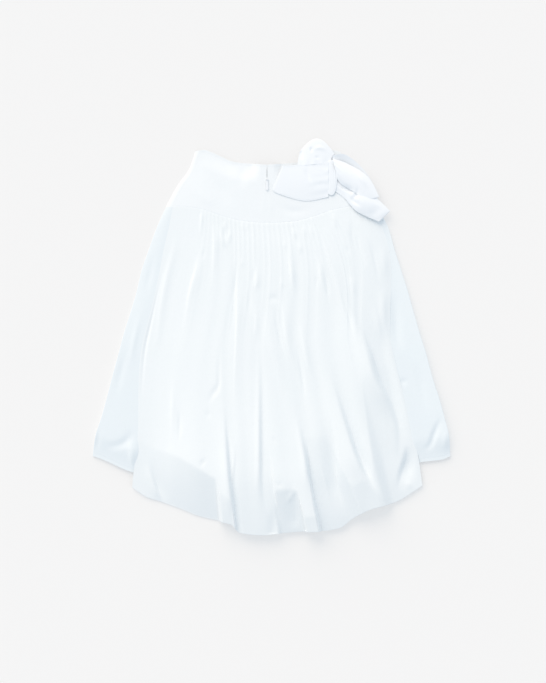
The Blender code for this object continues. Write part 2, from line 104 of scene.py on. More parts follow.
# %% Light
SUN_STRENGTH = 1.944
SUN_FROM_LEFT = math.radians(40)
SUN_FROM_TOP = math.radians(59)
SUN_SOFTNESS = math.radians(52)
SKY_STRENGTH = 0.849
SUN_COLOUR = "#FFEBD5"
SKY_COLOUR = "#F1F8FF"


def hex_colour(text):
    """An sRGB hex colour as linear red, green and blue."""
    levels = [int(text[start:start + 2], 16) / 255 for start in (1, 3, 5)]
    return tuple(c / 12.92 if c <= 0.04045 else ((c + 0.055) / 1.055) ** 2.4 for c in levels)


sun_data = bpy.data.lights.new("soft_sun", "SUN")
sun_data.energy = SUN_STRENGTH
sun_data.angle = SUN_SOFTNESS
sun_data.color = hex_colour(SUN_COLOUR)
sun = bpy.data.objects.new("soft_sun", sun_data)
sun_from = Vector((-math.tan(SUN_FROM_LEFT), math.tan(SUN_FROM_TOP), 1))
sun.rotation_euler = sun_from.to_track_quat("Z", "Y").to_euler()
scene.collection.objects.link(sun)
world = bpy.data.worlds.new("studio")
world.use_nodes = True
sky = world.node_tree.nodes["Background"].inputs
sky["Color"].default_value = (*hex_colour(SKY_COLOUR), 1)
sky["Strength"].default_value = SKY_STRENGTH
scene.world = world
scene.view_settings.view_transform = "Standard"
scene.view_settings.look = "None"
print("sun", SUN_STRENGTH, "and sky", SKY_STRENGTH)

# %% [markdown]
# ## Finishes
# The cloth is cotton poplin: a fine plain weave, piece dyed optical white, which looks a little blue
# beside a neutral ground and has almost no gloss. Real threads are a quarter of a millimetre apart,
# far below a pixel, so a bump at a coarser pitch just breaks up the surface. Noise in a bump is enough
# for the wrinkles that are too small to model.

# %% Node helpers
def add(tree, kind, links=None, **settings):
    """Adds a node. Settings are its own values; links feed its sockets by a node, socket or constant."""
    node = tree.nodes.new(kind)
    for name, value in settings.items():
        setattr(node, name, value)
    for socket, value in (links or {}).items():
        if isinstance(value, bpy.types.Node):
            value = value.outputs[0]
        if isinstance(value, bpy.types.NodeSocket):
            tree.links.new(value, node.inputs[socket])
        else:
            node.inputs[socket].default_value = value
    return node


def new_material(name, colour, roughness):
    """A Principled material with its tree and shader."""
    made = bpy.data.materials.new(name)
    made.use_nodes = True
    shader = made.node_tree.nodes["Principled BSDF"]
    shader.inputs["Base Color"].default_value = (*hex_colour(colour), 1)
    shader.inputs["Roughness"].default_value = roughness
    return made, made.node_tree, shader


# %% Cotton poplin
COTTON_ROUGHNESS = 0.86
COTTON_SPECULAR = 0.25
COTTON_SHEEN = 0.06
SHEEN_ROUGHNESS = 0.6
THREAD_PITCH = 1.1 * MM
THREAD_DEPTH = 0.12 * MM
THREAD_BUMP = 0.10
WRINKLE_SIZE = 16 * MM
WRINKLE_DEPTH = 0.6 * MM
TONES_IN_METRE = 9.0


def poplin(name, light, shade, wrinkles=0.35):
    """Plain-weave cotton: two near whites, a fine thread bump and small soft wrinkles."""
    made, tree, shader = new_material(name, light, COTTON_ROUGHNESS)
    shader.inputs["Specular IOR Level"].default_value = COTTON_SPECULAR
    shader.inputs["Sheen Weight"].default_value = COTTON_SHEEN
    shader.inputs["Sheen Roughness"].default_value = SHEEN_ROUGHNESS
    on_cloth = add(tree, "ShaderNodeUVMap", uv_map="cloth")
    place = add(tree, "ShaderNodeTexCoord").outputs["Object"]
    split = add(tree, "ShaderNodeSeparateXYZ", {0: on_cloth})
    waves = []
    for axis in ("X", "Y"):
        turns = add(tree, "ShaderNodeMath", {0: split.outputs[axis], 1: 2 * math.pi / THREAD_PITCH},
                    operation="MULTIPLY")
        waves.append(add(tree, "ShaderNodeMath", {0: turns}, operation="SINE"))
    threads = add(tree, "ShaderNodeMath", {0: waves[0], 1: waves[1]}, operation="MULTIPLY")
    soft = add(tree, "ShaderNodeTexNoise", {"Vector": place, "Scale": 1 / WRINKLE_SIZE, "Detail": 3.0,
                                            "Roughness": 0.5})
    tone = add(tree, "ShaderNodeTexNoise", {"Vector": place, "Scale": TONES_IN_METRE, "Detail": 2.0})
    # On a Mix node for colours, inputs 6 and 7 are its two colours and output 2 is their mix.
    mixed = add(tree, "ShaderNodeMix", {"Factor": tone}, data_type="RGBA")
    mixed.inputs[6].default_value = (*hex_colour(light), 1)
    mixed.inputs[7].default_value = (*hex_colour(shade), 1)
    tree.links.new(mixed.outputs[2], shader.inputs["Base Color"])
    creased = add(tree, "ShaderNodeBump", {"Strength": wrinkles, "Distance": WRINKLE_DEPTH,
                                           "Height": soft})
    woven = add(tree, "ShaderNodeBump", {"Strength": THREAD_BUMP, "Distance": THREAD_DEPTH,
                                         "Height": threads, "Normal": creased})
    tree.links.new(woven.outputs[0], shader.inputs["Normal"])
    return made


# %% Smooth finishes
GRAIN_DEPTH = 0.05 * MM


def plain(name, colour, roughness, grain, strength):
    """A smooth finish whose bump has a fine grain of a given size and strength."""
    made, tree, shader = new_material(name, colour, roughness)
    place = add(tree, "ShaderNodeTexCoord").outputs["Object"]
    noise = add(tree, "ShaderNodeTexNoise", {"Vector": place, "Scale": 1 / grain, "Detail": 2.0})
    bump = add(tree, "ShaderNodeBump", {"Strength": strength, "Distance": GRAIN_DEPTH, "Height": noise})
    tree.links.new(bump.outputs[0], shader.inputs["Normal"])
    return made


# %% Materials
# Bleached and optically whitened in the piece, then pressed: matt, and a little blue beside grey.
poplin_white = poplin("cotton_poplin_white", "#F1F5F8", "#EFF4F7")
# A little darker and greyer than the yoke's white: painted shade for the light that falls off over the
# panel towards the hem.
poplin_gathered_painted_shade = poplin("cotton_poplin_gathered", "#EEF3F6", "#ECF2F5")
# The front cotton is a little darker and greyer than the rest, so the side strips look a little duller.
poplin_front = poplin("cotton_poplin_front", "#E9F0F4", "#E7EFF4")
# The bow's bands are interlined and pressed, so their small wrinkles are fewer and the white fuller.
poplin_bow = poplin("cotton_poplin_bow", "#F2F6FA", "#F0F5FA", wrinkles=0.2)
# Spun thread stands proud in short pills, so a seam reads as a fine dashed line.
thread_white = plain("cotton_thread_white", "#E6EDF4", 0.7, 0.4 * MM, 0.4)
# Knitted polyester tape has a fine rib and no whitener, so it looks greyer than the cotton.
tape_white = plain("polyester_zip_tape", "#DEE4EA", 0.75, 0.5 * MM, 0.5)
# Sprayed and baked enamel flows level before it sets: a smooth skin with one soft highlight.
enamel_white = plain("white_enamel", "#F0F4F8", 0.32, 1.5 * MM, 0.15)
# Extruded nylon monofilament keeps the die's smooth skin, so the coil is a little glossy.
coil_white = plain("nylon_zip_coil", "#E4E8EC", 0.4, 0.6 * MM, 0.2)
# Opal acrylic over lamps: a matt grey sheet that gives off some of its own light.
floor_grey = plain("pale_light_table", "#BDBDBD", 0.95, 2 * MM, 0.02)
print(len(bpy.data.materials), "materials")

# %% Floor
FLOOR_SIZE = 8.0
FLOOR_GLOW = 0.38
FLOOR_GAP = 0.2 * MM
glowing = floor_grey.node_tree.nodes["Principled BSDF"].inputs
glowing["Emission Color"].default_value = (1, 1, 1, 1)
glowing["Emission Strength"].default_value = FLOOR_GLOW
bpy.ops.mesh.primitive_plane_add(size=FLOOR_SIZE, location=(0, 0, -FLOOR_GAP))
floor = bpy.context.object
floor.name = "pale_floor"
floor.data.materials.append(floor_grey)
print(floor.name, "glows with", FLOOR_GLOW)

# %% [markdown]
# ## Outline tables
# A short table with named columns holds each outline, a row for a level or a place, and a smooth
# curve reads it anywhere between. It is the way a cutter keeps a block: a few measures, then a curve.

# %% Outline tables
CLOTH = 0.6
CROSSING_ROUNDS = 6


def table_of(kind, *rows):
    """A table whose rows have named columns."""
    return [kind(*row) for row in rows]


Level = namedtuple("Level", "down left seam_left seam_right right side middle")
LEVELS = table_of(
    Level,
    (-40, -170, -156, 160, 174, 3.6, 10.2),
    (-24, -174, -161, 165, 178, 3.8, 10.4),
    (12, -187, -174, 179, 192, 4, 10.5),
    (50, -214, -200, 208, 221, 4.4, 10.5),
    (100, -241, -225, 246, 260, 4.8, 10.5),
    (150, -264, -235, 276, 290, 5.1, 10.6),
    (205, -284, -248, 293, 306, 5.5, 10.8),
    (255, -301, -257, 298, 322, 6, 11.1),
    (310, -314, -269, 297, 339, 6.8, 11.4),
    (360, -329, -281, 295, 353, 7.6, 11.7),
    (405, -343, -293, 295, 366, 8.4, 12),
    (450, -355, -302, 302, 380, 9.2, 12.4),
    (510, -371, -307, 317, 396, 10, 12.8),
    (560, -384, -308, 329, 412, 10.6, 13.2),
    (600, -395, -308, 339, 423, 11, 13.6),
    (655, -412, -310, 352, 436, 11.4, 14),
    (710, -419, -316, 364, 440, 11.6, 14.2),
    (760, -424, -322, 371, 444, 11.8, 14.4),
    (900, -436, -330, 400, 460, 11.8, 14.4),
)
Place = namedtuple("Place", "x down")
WAIST_HALF = ((0, 0), (29, -2), (65, -5), (89, -10), (108, -19), (130, -29), (151, -36), (180, -30))
WAIST = table_of(Place, *[(-x, down) for x, down in reversed(WAIST_HALF[1:])], *WAIST_HALF)
YOKE_SEAM = table_of(
    Place,
    (-260, 101), (-205, 102), (-160, 108), (-110, 124), (-60, 137), (0, 142), (60, 139), (110, 127),
    (160, 110), (215, 101), (280, 101),
)
FRONT_HEM = table_of(
    Place,
    (-424, 696), (-400, 704), (-322, 737), (-200, 764), (7, 775), (200, 760), (300, 735), (367, 713),
    (420, 706), (444, 696),
)
print(len(LEVELS), "levels of the outline,", len(WAIST), "places on the waist")


# %% How a table is read
def values(table, name):
    """One named column of a table, as an array."""
    return np.array([getattr(row, name) for row in table], float)


def smooth(table, name, at):
    """A column read anywhere between the values of the table's first column, with no overshoot."""
    knots = values(table, table[0]._fields[0])
    heights = values(table, name)
    at = np.asarray(at, float)
    rise = np.diff(heights) / np.diff(knots)
    slope = np.zeros_like(heights)
    slope[0] = rise[0]
    slope[-1] = rise[-1]
    same_way = rise[:-1] * rise[1:] > 0
    both = np.where(same_way, rise[:-1] + rise[1:], 1)
    slope[1:-1] = np.where(same_way, 2 * rise[:-1] * rise[1:] / both, 0)
    index = np.clip(np.searchsorted(knots, at, side="right") - 1, 0, len(rise) - 1)
    step = np.diff(knots)[index]
    t = np.clip((at - knots[index]) / step, 0, 1)
    start = (1 + 2 * t) * (1 - t) ** 2 * heights[index] + t * (1 - t) ** 2 * step * slope[index]
    end = t * t * (3 - 2 * t) * heights[index + 1] + t * t * (t - 1) * step * slope[index + 1]
    return start + end


def spline(places, at):
    """A smooth curve through numbers or rows of numbers, read by row number."""
    places = np.asarray(places, float)
    padded = np.concatenate([[2 * places[0] - places[1]], places, [2 * places[-1] - places[-2]]])
    index = np.clip(np.floor(at).astype(int), 0, len(places) - 2)
    t = (at - index)[:, None]
    before, start, end, after = (padded[index + step] for step in range(4))
    square = (2 * before - 5 * start + 4 * end - after) * t ** 2
    cube = (3 * start - before - 3 * end + after) * t ** 3
    return start + ((end - before) * t + square + cube) / 2


def mix(low, high, share):
    """The value that lies this share of the way from low to high."""
    return low + (high - low) * share


def eased(share):
    """A share from 0 to 1 that starts and ends slowly."""
    share = np.clip(share, 0, 1)
    return share * share * (3 - 2 * share)


# %% Lines of the skirt
def level(down, name):
    return smooth(LEVELS, name, down)


seam_left = partial(level, name="seam_left")
seam_right = partial(level, name="seam_right")


def back_height(x, down):
    """Height of the smooth back, which rises a little between the side seams."""
    share = (x - seam_left(down)) / (seam_right(down) - seam_left(down))
    return mix(level(down, "middle"), level(down, "side"), (2 * share - 1) ** 2)


def on_line(line, left, right, share):
    """The point of a crossing line that lies this share of the way between two edges at its level."""
    down = np.full_like(np.asarray(share, float), line[len(line) // 2].down)
    for _ in range(CROSSING_ROUNDS):
        x = mix(left(down), right(down), share)
        down = smooth(line, "down", x)
    return x, down


# %% [markdown]
# ## Creases one by one
# Cloth holds ridges and troughs that no formula gives, and a cloth simulation would make others than the
# photo's. So each is a row given one by one: its height (below zero for a trough), how far it reaches to
# its left and right, the few places it passes, and how far along it is strongest, where that isn't the
# middle. A vertex finds the nearest point of each path and takes a soft bell of that height.

# %% Crease relief
Crease = namedtuple("Crease", "height left right path peak", defaults=(0.5,))
POINTS_FOR_PLACE = 6
# A bell has sunk to a thousandth of its height at this many times its reach.
FARTHEST = 2.6


def fade(t, peak):
    """Grows from nothing at the start to 1 at the peak and back to nothing at the end."""
    return eased(np.minimum(t / peak, (1 - t) / (1 - peak)))


def crease_relief(x, down, creases):
    """Height that a list of creases adds at each plan place."""
    relief = np.zeros_like(x)
    for crease in creases:
        places = len(crease.path)
        points = spline(crease.path, np.linspace(0, places - 1, POINTS_FOR_PLACE * places))
        reach = FARTHEST * max(crease.left, crease.right)
        low = points.min(axis=0) - reach
        high = points.max(axis=0) + reach
        near = np.flatnonzero((x > low[0]) & (x < high[0]) & (down > low[1]) & (down < high[1]))
        if near.size == 0:
            continue
        best = np.full(near.size, np.inf)
        side = np.zeros(near.size)
        along = np.zeros(near.size)
        for number in range(len(points) - 1):
            start, step = points[number], points[number + 1] - points[number]
            offset_x, offset_down = x[near] - start[0], down[near] - start[1]
            t = np.clip((offset_x * step[0] + offset_down * step[1]) / (step @ step), 0, 1)
            away_x, away_down = offset_x - t * step[0], offset_down - t * step[1]
            distance = np.hypot(away_x, away_down)
            closer = distance < best
            best = np.where(closer, distance, best)
            turn = step[1] * away_x - step[0] * away_down
            side = np.where(closer, np.sign(turn) * distance, side)
            along = np.where(closer, (number + t) / (len(points) - 1), along)
        width = np.where(side < 0, crease.left, crease.right)
        relief[near] += crease.height * np.exp(-(side / width) ** 2) * fade(along, crease.peak)
    return relief


# %% [markdown]
# ## Cloth from a grid
# A flat grid is moved onto the surface that a function gives, as a sheet of paper is laid over a form,
# and Solidify gives it the thickness of cotton, with sharp cut edges. Its UV map is measured along the
# cloth itself, so the weave keeps its pitch on slopes and folds.

# %% Mesh and grid helpers
def read(items, name, kind, width=1):
    """One property of all vertices or loops of a mesh, as an array."""
    flat = np.empty(len(items) * width, kind)
    items.foreach_get(name, flat)
    return flat.reshape(-1, width) if width > 1 else flat


def steps(start, stop, count):
    """Evenly spaced grid values, both ends included."""
    return list(np.linspace(start, stop, count + 1))


def grid(columns, rows):
    """Evenly spaced columns and rows from 0 to 1."""
    return steps(0, 1, columns), steps(0, 1, rows)


def travelled(line):
    """Distance from the start of a line of points, at each point."""
    return np.concatenate([[0], np.cumsum(np.linalg.norm(np.diff(line, axis=0), axis=1))])


# %% Cloth maker
def cloth(name, columns, rows, point, finish, *nodes):
    """A thin shell of cloth that stands for solids: a grid moved by a function of column and row."""
    bpy.ops.mesh.primitive_grid_add(size=1, x_subdivisions=len(columns) - 1,
                                    y_subdivisions=len(rows) - 1)
    piece = bpy.context.object
    mesh = piece.data
    piece.name = mesh.name = name
    flat = read(mesh.vertices, "co", np.float32, 3)
    column = np.rint((flat[:, 0] + 0.5) * (len(columns) - 1)).astype(int)
    row = np.rint((flat[:, 1] + 0.5) * (len(rows) - 1)).astype(int)
    x, down, z = point(np.asarray(columns, float)[column], np.asarray(rows, float)[row])
    points = placed(x, down, z)
    mesh.vertices.foreach_set("co", points.astype(np.float32).ravel())

    surface = np.zeros((len(rows), len(columns), 3))
    surface[row, column] = points
    across = travelled(surface[len(rows) // 2])
    along = travelled(surface[:, len(columns) // 2])
    corner = read(mesh.loops, "vertex_index", np.int32)
    layer = mesh.uv_layers[0]
    layer.name = "cloth"
    layer.data.foreach_set("uv", np.stack([across[column[corner]], along[row[corner]]], -1).ravel())

    mesh.materials.append(finish)
    mesh.shade_smooth()
    outer = np.bincount(read(mesh.loops, "edge_index", np.int32), minlength=len(mesh.edges)) == 1
    mesh.attributes.new("sharp_edge", "BOOLEAN", "EDGE").data.foreach_set("value", outer)
    shell = piece.modifiers.new("Thickness", "SOLIDIFY")
    shell.thickness = CLOTH * MM
    shell.offset = 0
    mesh.update()
    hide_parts(*nodes)
    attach(piece, "root")
    cells = np.linalg.norm(np.cross(surface[1:, 1:] - surface[:-1, :-1],
                                    surface[1:, :-1] - surface[:-1, 1:]), axis=-1) / 2
    piece["area"] = float(cells.sum())
    print(name, len(mesh.polygons), "faces,", round(piece["area"], 3), "square metres of cloth")
    return piece


# %% [markdown]
# ## Front yoke and front panel
# The under layer folds round both sides. Underneath it lies flat; on top only its side strips show,
# down to a plain hem. Both pieces fold in the same way, so one function gives both. The strips would
# look like card without the few flat dents that a hand leaves near the hem as it lays the cloth down.

# %% Creases on the front
FRONT_CREASES = table_of(
    Crease,
    (-4, 6, 7, [(420, 596), (402, 640), (390, 672), (370, 684)], 0.4),
    (1.8, 8, 9, [(432, 620), (424, 690)], 0.6),
    (-3.2, 10, 12, [(300, 292), (306, 350), (312, 410), (322, 452)]),
    (-1.6, 6, 6, [(312, 512), (326, 520), (336, 510)]),
    (-1.4, 9, 9, [(352, 470), (372, 540), (384, 600)], 0.4),
    (4, 5, 14, [(-330, 655), (-326, 690), (-318, 740)], 0.6),
    (-2.6, 9, 9, [(-318, 630), (-345, 668), (-398, 676)]),
    (-2.2, 6, 6, [(-404, 620), (-409, 690)], 0.6),
    (-1.4, 8, 8, [(-330, 420), (-350, 500), (-362, 560)]),
    (1.4, 7, 7, [(-300, 340), (-318, 420), (-330, 500)]),
    (-1.2, 8, 8, [(-270, 200), (-280, 260), (-296, 330)]),
)
UNDER_CREASES = table_of(
    Crease,
    (1.5, 10, 14, [(-210, 180), (-190, 330), (-215, 480)]),
    (1.2, 12, 10, [(-60, 160), (-85, 320), (-70, 470), (-110, 600)], 0.4),
    (1.6, 9, 12, [(70, 240), (110, 400), (95, 560), (130, 690)], 0.6),
    (1.1, 14, 10, [(220, 200), (245, 340), (230, 450)]),
    (1.4, 10, 10, [(-330, 520), (-290, 620), (-300, 720)]),
    (1.3, 9, 13, [(330, 520), (300, 610), (320, 700)]),
    (1, 8, 8, [(-20, 560), (10, 640), (-10, 740)]),
    (0.9, 7, 9, [(-150, 30), (-120, 70), (-130, 110)]),
    (0.8, 9, 7, [(40, 20), (90, 60), (140, 90)]),
)
print(len(FRONT_CREASES), "creases on the side strips,", len(UNDER_CREASES), "underneath")

# %% Where edges rest
TUCK = 5.0
TUCK_DROP = 0.7
HEM_FALL = 60
WAIST_FALL = 46
ZIP_STAND = 14
ZIP_STAND_FADE = 26


def tucked(distance):
    """How deep cloth lies under its neighbour, by its distance from the edge that it hides."""
    return TUCK_DROP * (1 - eased(distance / TUCK))


def hem_fall(x, down):
    """How far the side strips have come down towards the cloth below them at the front hem."""
    return eased((down - smooth(FRONT_HEM, "down", x)) / HEM_FALL + 1)


def waist_fall(x, down):
    """How far the open waist edge has come down towards the front yoke, less so at the zip."""
    fallen = eased(1 - (down - smooth(WAIST, "down", x)) / WAIST_FALL)
    return fallen * eased((np.abs(x) - ZIP_STAND) / ZIP_STAND_FADE)


# %% Folded front surface
EDGE_RADIUS = 0.5
EDGE_SHARE_LEFT = (0.45, 0.92)
EDGE_SHARE_RIGHT = 1.5
EDGE_SHARE_FROM = 200
EDGE_SHARE_OVER = 300
FALL_FROM = 0.25
HEM_REST = 6.0
HEM_REST_CORNER = 3.5
WAIST_REST = 3.4
STRIP_RIM = 0.1


def wrapped(top, bottom, creases, tuck_top):
    """Surface of a front piece that folds round both sides: see the column numbers inside."""
    def point(column, row):
        # 0 left side seam, 1 to 2 left fold, 2 to 3 underside, 3 to 4 right fold, 5 right side seam
        mirror = column > 2.5
        near = np.where(mirror, 5 - column, column)
        strip = np.clip(near, 0, 1)
        turn = np.clip(near - 1, 0, 1) * np.pi
        inward = np.where(mirror, -1, 1)

        def edge(down, side):
            outline = level(down, side) + inward * EDGE_RADIUS
            on_strip = mix(level(down, "seam_" + side) + inward * TUCK, outline, strip)
            return np.where(near <= 1, on_strip, outline - inward * EDGE_RADIUS * np.sin(turn))

        left, right = partial(edge, side="left"), partial(edge, side="right")
        share = np.where(column <= 2, 0, np.where(column >= 3, 1, np.clip(column - 2, 0, 1)))
        top_down = on_line(top, left, right, share)[1] - tuck_top
        bottom_down = on_line(bottom, left, right, share)[1]
        down = mix(top_down, bottom_down, row)
        x = mix(left(down), right(down), share)
        inset = tucked(down - top_down) if tuck_top else np.zeros_like(down)
        seam = np.where(mirror, seam_right(down), seam_left(down))
        side_inset = tucked(inward * (seam - x) + TUCK)
        under = CLOTH / 2 + inset
        side_z = level(down, "side") - inset
        fall = np.clip((strip - FALL_FROM) / (1 - FALL_FROM), 0, 1) ** 2
        edge_share = mix(*EDGE_SHARE_LEFT, eased((down - EDGE_SHARE_FROM) / EDGE_SHARE_OVER))
        edge_share = np.where(mirror, EDGE_SHARE_RIGHT, edge_share)
        top_z = mix(side_z, side_z * edge_share, fall)
        rest_z = mix(HEM_REST, np.where(mirror, HEM_REST, HEM_REST_CORNER), strip ** 2)
        top_z = mix(top_z, rest_z, hem_fall(x, down))
        top_z = mix(top_z, np.minimum(top_z, WAIST_REST), waist_fall(x, down))
        folded = mix(top_z, under, (1 - np.cos(turn)) / 2)
        inside = np.clip(strip / STRIP_RIM, 0, 1) * np.clip((1 - strip) / STRIP_RIM, 0, 1)
        on_top = top_z - side_inset + crease_relief(x, down, creases) * inside
        z = np.where(near <= 1, on_top, folded)
        beneath = (column > 2) & (column < 3)
        return x, down, np.where(beneath, under + crease_relief(x, down, UNDER_CREASES), z)
    return point


# %% Front pieces
STRIP_STEPS, FOLD_STEPS, UNDER_STEPS = 26, 10, 96
NEAR_FOLD = [0.985, 0.995]
YOKE_ROWS, FRONT_ROWS = 40, 150
NEAR_SEAM = [0, 0.002, 0.004, 0.006]
BELOW_SEAM = 0.008

one_side = steps(0, 1, STRIP_STEPS)[:-1] + NEAR_FOLD + steps(1, 2, FOLD_STEPS)
front_columns = one_side + steps(2, 3, UNDER_STEPS)[1:-1] + [5 - column for column in reversed(one_side)]
front_yoke = cloth("cloth_front_yoke", front_columns, steps(0, 1, YOKE_ROWS),
                   wrapped(WAIST, YOKE_SEAM, [], 0), poplin_white, "front_yoke")
front_point = wrapped(YOKE_SEAM, FRONT_HEM, FRONT_CREASES, TUCK)
front_rows = NEAR_SEAM + steps(BELOW_SEAM, 1, FRONT_ROWS)
front_panel = cloth("cloth_front_panel", front_columns, front_rows, front_point, poplin_front,
                    "front_panel", "front_side_left", "front_side_right")

# %% [markdown]
# ## Back yoke
# The yoke, or basque, is the smooth fitted band over the hips. It is cut in two halves at the back and
# parts along the zip. Each half spans from its side seam to the slit, between the waist and the yoke
# seam, and a few shallow pulls show where it was laid flat.

# %% Back yokes
SLIT_OPEN = 1.2
SLIT_TAPER_FROM = 26
SLIT_TAPER_TO = 38
BACK_YOKE_STEPS = (110, 72)
YOKE_CREASES = table_of(
    Crease,
    (-1.2, 14, 14, [(-150, 10), (-110, 60), (-90, 110)]),
    (-1.5, 12, 12, [(-66, 2), (-58, 30), (-70, 60)], 0.4),
    (0.9, 12, 12, [(-190, 40), (-150, 80), (-120, 104)]),
    (-0.9, 9, 9, [(20, 90), (60, 112), (120, 104)]),
    (0.4, 7, 7, [(-8, 60), (-9, 100), (-8, 136)]),
    (0.4, 7, 7, [(8, 60), (9, 100), (8, 136)]),
)


def slit_half(down):
    """Half the gap between the two back yokes."""
    closed = np.clip((down - SLIT_TAPER_FROM) / (SLIT_TAPER_TO - SLIT_TAPER_FROM), 0, 1)
    return SLIT_OPEN * (1 - closed) / 2


def yoke_half(side):
    """Surface of a back yoke, -1 for the left one and 1 for the right one."""
    seam = seam_left if side < 0 else seam_right

    def point(across, along):
        def slit(down):
            return side * slit_half(down)

        waist_down = on_line(WAIST, seam, slit, across)[1]
        down = mix(waist_down, on_line(YOKE_SEAM, seam, slit, across)[1], along)
        x = mix(seam(down), slit(down), across)
        height = mix(back_height(x, down), WAIST_REST, waist_fall(x, down))
        return x, down, height + crease_relief(x, down, YOKE_CREASES)
    return point


yokes = []
for side, node in ((-1, "back_yoke_left"), (1, "back_yoke_right")):
    yokes.append(cloth("cloth_" + node, *grid(*BACK_YOKE_STEPS), yoke_half(side), poplin_white, node))
yoke_left, yoke_right = yokes

# %% [markdown]
# ## Gathered back panel
# The panel is drawn up into the yoke seam, so it leaves it in some forty-five small gathers that merge
# into about fifteen folds. Near the hem each fold falls, rolls over and returns to the floor inside.
# The rise of the cloth comes from a table, the gathers from a wave and each fold's run from a row. The
# creases on the folds are placed one by one, because those are what the eye knows the skirt by.

# %% Hem, folds and rise of the back panel
HemPoint = namedtuple("HemPoint", "share down")
PANEL_HEM = table_of(
    HemPoint,
    (0, 773), (0.025, 785), (0.053, 797), (0.095, 806), (0.163, 823), (0.231, 842), (0.305, 854),
    (0.339, 860), (0.362, 880), (0.44, 886), (0.515, 881), (0.597, 877), (0.647, 876), (0.698, 869),
    (0.741, 848), (0.806, 824), (0.897, 808), (0.97, 781), (1, 768),
)
# A fold's ridge runs through a share of the width at the yoke seam, two stations below it and the hem.
STATIONS = (0, 0.35, 0.7, 1)
Station = namedtuple("Station", "along share")
Fold = namedtuple("Fold", "seam upper lower hem hollow")
FOLDS = table_of(
    Fold,
    (0, 0, 0, 0, 3),
    (0.035, 0.035, 0.037, 0.05, 6),
    (0.1, 0.098, 0.08, 0.088, 5),
    (0.16, 0.163, 0.127, 0.14, 7),
    (0.215, 0.248, 0.215, 0.225, 7),
    (0.275, 0.312, 0.311, 0.325, 12),
    (0.335, 0.366, 0.368, 0.385, 6),
    (0.405, 0.43, 0.424, 0.437, 9),
    (0.475, 0.502, 0.5, 0.52, 6),
    (0.545, 0.575, 0.577, 0.605, 14),
    (0.61, 0.645, 0.655, 0.685, 12),
    (0.67, 0.712, 0.727, 0.778, 16),
    (0.725, 0.815, 0.822, 0.86, 7),
    (0.8, 0.845, 0.893, 0.915, 14),
    (0.885, 0.885, 0.967, 0.97, 5),
    (1, 1, 1, 1, 0),
)
Rise = namedtuple("Rise", "along cloth hollow")
RISES = table_of(
    Rise,
    (0, 0, 0),
    (0.03, 1.6, 0.05),
    (0.08, 4.6, 0.2),
    (0.2, 8.8, 0.45),
    (0.4, 12.8, 0.65),
    (0.6, 17.8, 0.85),
    (0.75, 23, 1),
    (0.85, 26.5, 1),
    (1, 27, 1),
)
# By column: how far along the fall to the hem starts, how it bends and how high its edge stands.
Turn = namedtuple("Turn", "column along bend edge")
TURNS = table_of(
    Turn,
    (0, 0.83, 0.1, 6), (3, 0.83, 0, 2.5), (4.7, 0.86, 0, 2.5), (4.82, 0.9, -0.2, 29),
    (5.4, 0.92, -0.2, 29), (5.52, 0.84, -0.2, 17), (5.9, 0.7, -0.8, 22), (7.65, 0.7, -0.8, 21),
    (7.8, 0.86, -0.1, 12), (8.6, 0.86, 0, 11), (8.7, 0.87, 0, 13), (8.77, 0.95, 0, 35),
    (9.25, 0.95, 0, 35), (9.4, 0.7, -0.4, 12), (10.4, 0.7, -0.5, 12), (10.8, 0.84, -0.3, 19),
    (11, 0.9, -0.3, 30), (11.75, 0.9, -0.3, 30), (12.6, 0.58, -0.4, 8), (13.2, 0.56, -0.4, 7),
    (14.2, 0.56, -0.4, 7), (15, 0.6, -0.3, 7),
)
print(len(FOLDS) - 1, "folds between the side seams")

